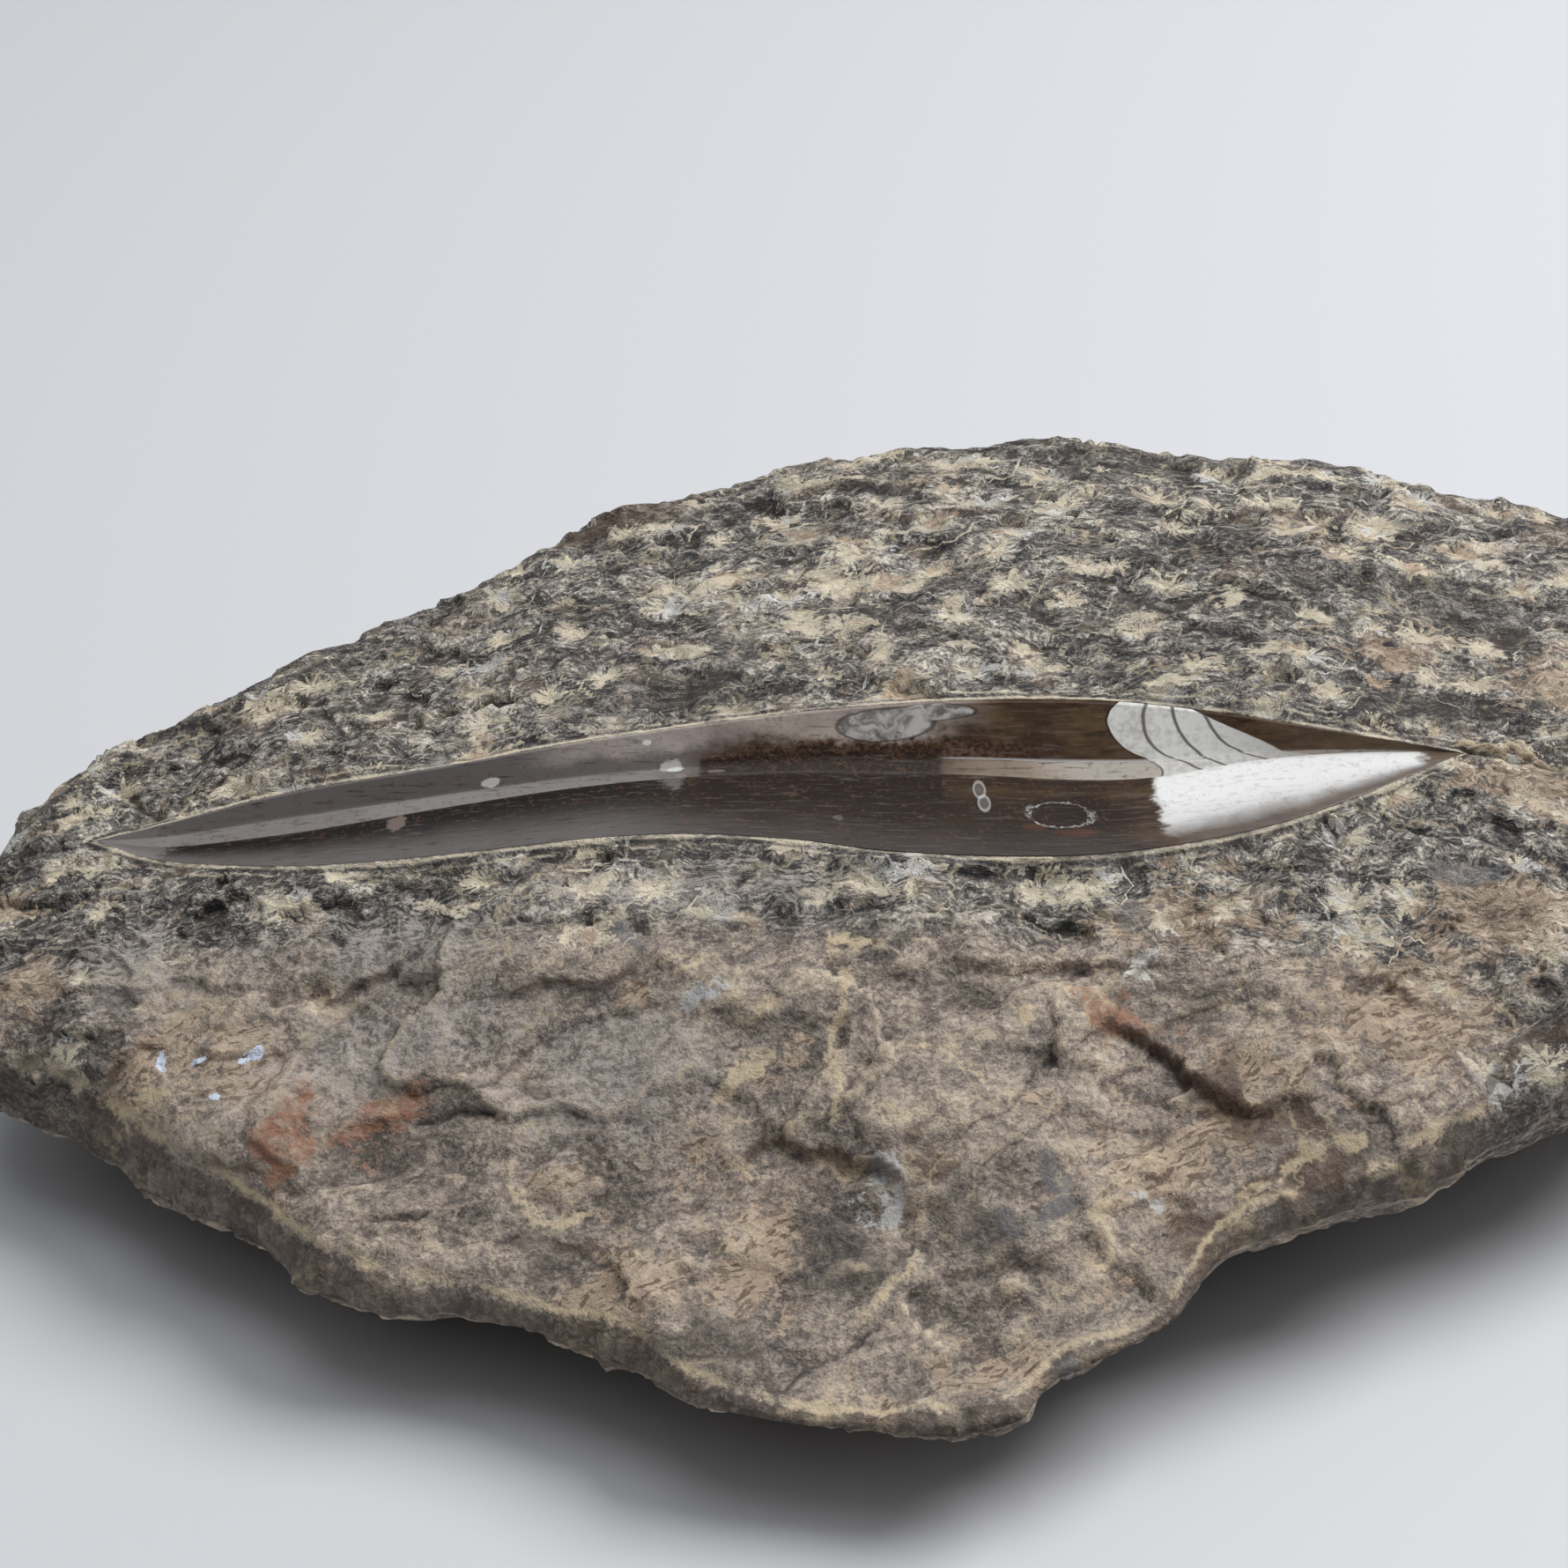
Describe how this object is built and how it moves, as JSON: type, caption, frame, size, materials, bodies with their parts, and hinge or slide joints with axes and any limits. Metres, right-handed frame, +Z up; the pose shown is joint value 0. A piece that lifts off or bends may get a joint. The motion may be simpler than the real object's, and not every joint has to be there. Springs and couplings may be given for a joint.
{
  "type": "orthoceras fossil plate",
  "caption": "Rough slab of grey limestone with a straight-shelled fossil cut and polished as a long boat-shaped trough.",
  "frame": {"origin": "middle of the slab's box in plan, on the worn patch that it rests on", "axes": "+X along the slab and the fossil, towards the fossil's chambered end; +Y towards the thick back; +Z up"},
  "size_m": [0.2166, 0.148, 0.0451],
  "materials": {
    "limestone": "rough broken limestone, with a gloss-polished cut across the fossil"
  },
  "bodies": {
    "root": {"fossil_plate": "limestone"}
  },
  "joints": []
}
